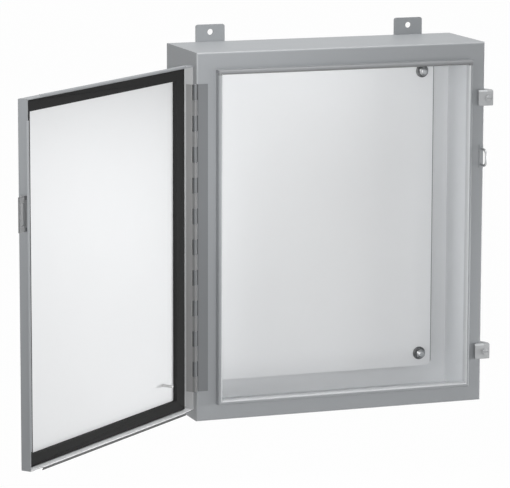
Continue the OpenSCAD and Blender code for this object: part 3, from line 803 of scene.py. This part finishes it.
def makeWelds(look):
    low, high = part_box("mounting_feet")
    holeX = high.x - look["footWidth"] / 2
    bead = weldBead("footWeld", look["footBead"], look["footSeam"])
    number = 0
    for side in (-1, 1):
        for edge in (-1, 1):
            x = side * holeX + edge * look["footWidth"] / 2
            for z in (backHigh.z - look["footLap"] / 2, backLow.z + look["footLap"] / 2):
                number += 1
                twin = copyPiece(bead, "footWeld" + str(number), (x, low.y, z - look["footSeam"] / 2))
                finishPiece(twin, greyPaint, "enclosure")
    bpy.data.objects.remove(bead)
    stapleLow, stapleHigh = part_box("padlock_staple")
    rodR = (stapleHigh.x - stapleLow.x) / 2
    ringR = rodR + look["stapleBead"] / 3  # the middle of the bead lies just outside the rod
    bpy.ops.mesh.primitive_torus_add(
        major_segments=36, minor_segments=10, major_radius=ringR, minor_radius=look["stapleBead"])
    ring = namePiece("stapleWeld")
    openPiece(ring)
    bpy.ops.mesh.select_all(action="SELECT")
    bpy.ops.transform.resize(value=(1, 1, look["stapleFlat"]), center_override=(0, 0, 0))
    bpy.ops.transform.vertex_random(offset=look["stapleRipple"] * look["stapleBead"], seed=look["seed"])
    closePiece()
    setPiece(ring, (0, 0, 0), (0, -1, 0))
    for name, z in (("stapleWeldUpper", stapleHigh.z - rodR), ("stapleWeldLower", stapleLow.z + rodR)):
        twin = copyPiece(ring, name, (stapleLow.x + rodR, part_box("staple_plate")[0].y, z))
        finishPiece(twin, greyPaint, "enclosure")
    bpy.data.objects.remove(ring)


makePanelFixings(fixingLook)
makeGroundStuds(groundLook)
makeClampScrews(screwLook)
makeGasket(gasketLook)
makeWelds(weldLook)
print("fixings, gasket and welds done")


# camera at the photograph's angle
cameraLook = {"place": (-1.9496, -5.1357, 0.9044), "yaw": 0.34624, "pitch": 0.17171, "roll": 0.0026,
              "lens": 231.2, "sensor": 36}


def makeCamera(look):
    yaw, pitch, roll = look["yaw"], look["pitch"], look["roll"]
    ahead = Vector((math.sin(yaw) * math.cos(pitch), math.cos(yaw) * math.cos(pitch), -math.sin(pitch)))
    right = Vector((math.cos(yaw), -math.sin(yaw), 0))
    up = right.cross(ahead)
    turnedRight = right * math.cos(roll) + up * math.sin(roll)
    turnedUp = up * math.cos(roll) - right * math.sin(roll)
    data = bpy.data.cameras.new("photoCamera")
    data.sensor_width = look["sensor"]
    data.lens = look["lens"]
    camera = bpy.data.objects.new("photoCamera", data)
    bpy.context.scene.collection.objects.link(camera)
    turn = Matrix((turnedRight, turnedUp, -ahead)).transposed().to_4x4()
    camera.matrix_world = Matrix.Translation(look["place"]) @ turn
    bpy.context.scene.camera = camera


# the floor and the world are white to the camera and in mirrors, and dimmer as light on the part
floorLook = {"size": 80, "height": -1.25, "color": grey(0.7), "white": 0.985}
worldLook = {"light": 0.23}


def seenDirectly(tree):
    path = addNode(tree, "ShaderNodeLightPath", "what looks at it").outputs
    seen = mathNode(tree, "MAXIMUM", "camera or mirror", path["Is Camera Ray"], path["Is Glossy Ray"])
    return mathNode(tree, "MAXIMUM", "or glass", seen, path["Is Transmission Ray"])


def mixShaders(tree, label, factor, first, second, result):
    blend = addNode(tree, "ShaderNodeMixShader", label)
    tree.links.new(factor, blend.inputs["Fac"])
    tree.links.new(first.outputs[0], blend.inputs[1])
    tree.links.new(second.outputs[0], blend.inputs[2])
    tree.links.new(blend.outputs[0], result.inputs["Surface"])


def makeFloor(look):
    bpy.ops.object.select_all(action="DESELECT")
    bpy.ops.mesh.primitive_plane_add(size=look["size"], location=(0, 0, look["height"]))
    floor = namePiece("studioFloor")
    material = bpy.data.materials.new("studioFloorPaper")
    tree = newTree(material)
    paper = addNode(tree, "ShaderNodeBsdfDiffuse", "paper")
    paper.inputs["Color"].default_value = look["color"]
    glow = addNode(tree, "ShaderNodeEmission", "white ground")
    howWhite = mathNode(tree, "MULTIPLY", "how white", seenDirectly(tree), look["white"])
    result = addNode(tree, "ShaderNodeOutputMaterial", "surface")
    mixShaders(tree, "paper, or white to the camera", howWhite, paper, glow, result)
    floor.data.materials.append(material)


def makeWorld(look):
    world = bpy.data.worlds.new("studioWorld")
    bpy.context.scene.world = world
    tree = newTree(world)
    soft = addNode(tree, "ShaderNodeBackground", "soft light")
    soft.inputs["Strength"].default_value = look["light"]
    white = addNode(tree, "ShaderNodeBackground", "white to the camera")
    result = addNode(tree, "ShaderNodeOutputWorld", "world")
    mixShaders(tree, "soft light or white", seenDirectly(tree), soft, white, result)


# a lamp with a beam is a spot that fades to its edge, and the rest are square panels
nearCamera = (-1.85, -4.9, 0.85)
lampLook = [
    {"name": "keyBeam", "at": nearCamera, "aim": (-0.33, -0.05, 0.33),
     "beam": 10.5, "size": 0.1, "power": 300},
    {"name": "wideBeam", "at": nearCamera, "aim": (-0.15, -0.05, 0.12),
     "beam": 19, "size": 0.1, "power": 385},
    {"name": "cornerBeam", "at": nearCamera, "aim": (0.24, -0.13, 0.3),
     "beam": 7, "size": 0.1, "power": 60},
    {"name": "doorFill", "at": (-1.0, -5.0, 0.2), "aim": (-0.45, -0.33, -0.1),
     "beam": 11, "size": 0.1, "power": 75},
    {"name": "doorBeam", "at": (1.5, -0.6, -0.2), "aim": (-0.42, -0.3, -0.24),
     "beam": 40, "size": 0.15, "power": 52},
    {"name": "leftPanel", "at": (-3.0, -2.2, 0.6), "aim": (-0.1, -0.1, 0), "size": 1.4, "power": 18},
    {"name": "topPanel", "at": (0.0, 0.12, 2.4), "aim": (-0.05, 0.0, 0.3), "size": 1.4, "power": 47},
    {"name": "highPanel", "at": (-0.2, -1.0, 2.4), "aim": (-0.1, -0.1, 0.0), "size": 1.2, "power": 8},
    {"name": "lowPanel", "at": (0.6, -3.6, -0.9), "aim": (0.0, -0.1, -0.1), "size": 1.2, "power": 13},
    {"name": "rightPanel", "at": (2.2, -2.2, -0.3), "aim": (0.0, -0.1, 0), "size": 1.0, "power": 9},
    {"name": "backPanel", "at": (0.45, 3.2, -0.25), "aim": (0.0, 0.0, -0.05), "size": 1.0, "power": 75},
    {"name": "sidePanel", "at": (2.6, 1.2, -0.25), "aim": (0.2, 0.0, -0.05), "size": 1.0, "power": 25},
]


def makeLamps(looks):
    for look in looks:
        data = bpy.data.lights.new(look["name"], "SPOT" if "beam" in look else "AREA")
        if "beam" in look:
            data.spot_size = math.radians(look["beam"])
            data.spot_blend = 1
            data.shadow_soft_size = look["size"]
        else:
            data.shape = "SQUARE"
            data.size = look["size"]
        data.energy = look["power"]
        lamp = bpy.data.objects.new(look["name"], data)
        bpy.context.scene.collection.objects.link(lamp)
        lamp.visible_camera = False
        lamp.location = look["at"]
        lamp.rotation_mode = "QUATERNION"
        lamp.rotation_quaternion = (Vector(look["aim"]) - Vector(look["at"])).to_track_quat("-Z", "Y")


makeCamera(cameraLook)
makeFloor(floorLook)
makeWorld(worldLook)
makeLamps(lampLook)
bpy.context.scene.view_settings.view_transform = "Standard"
print("camera, floor and light done")
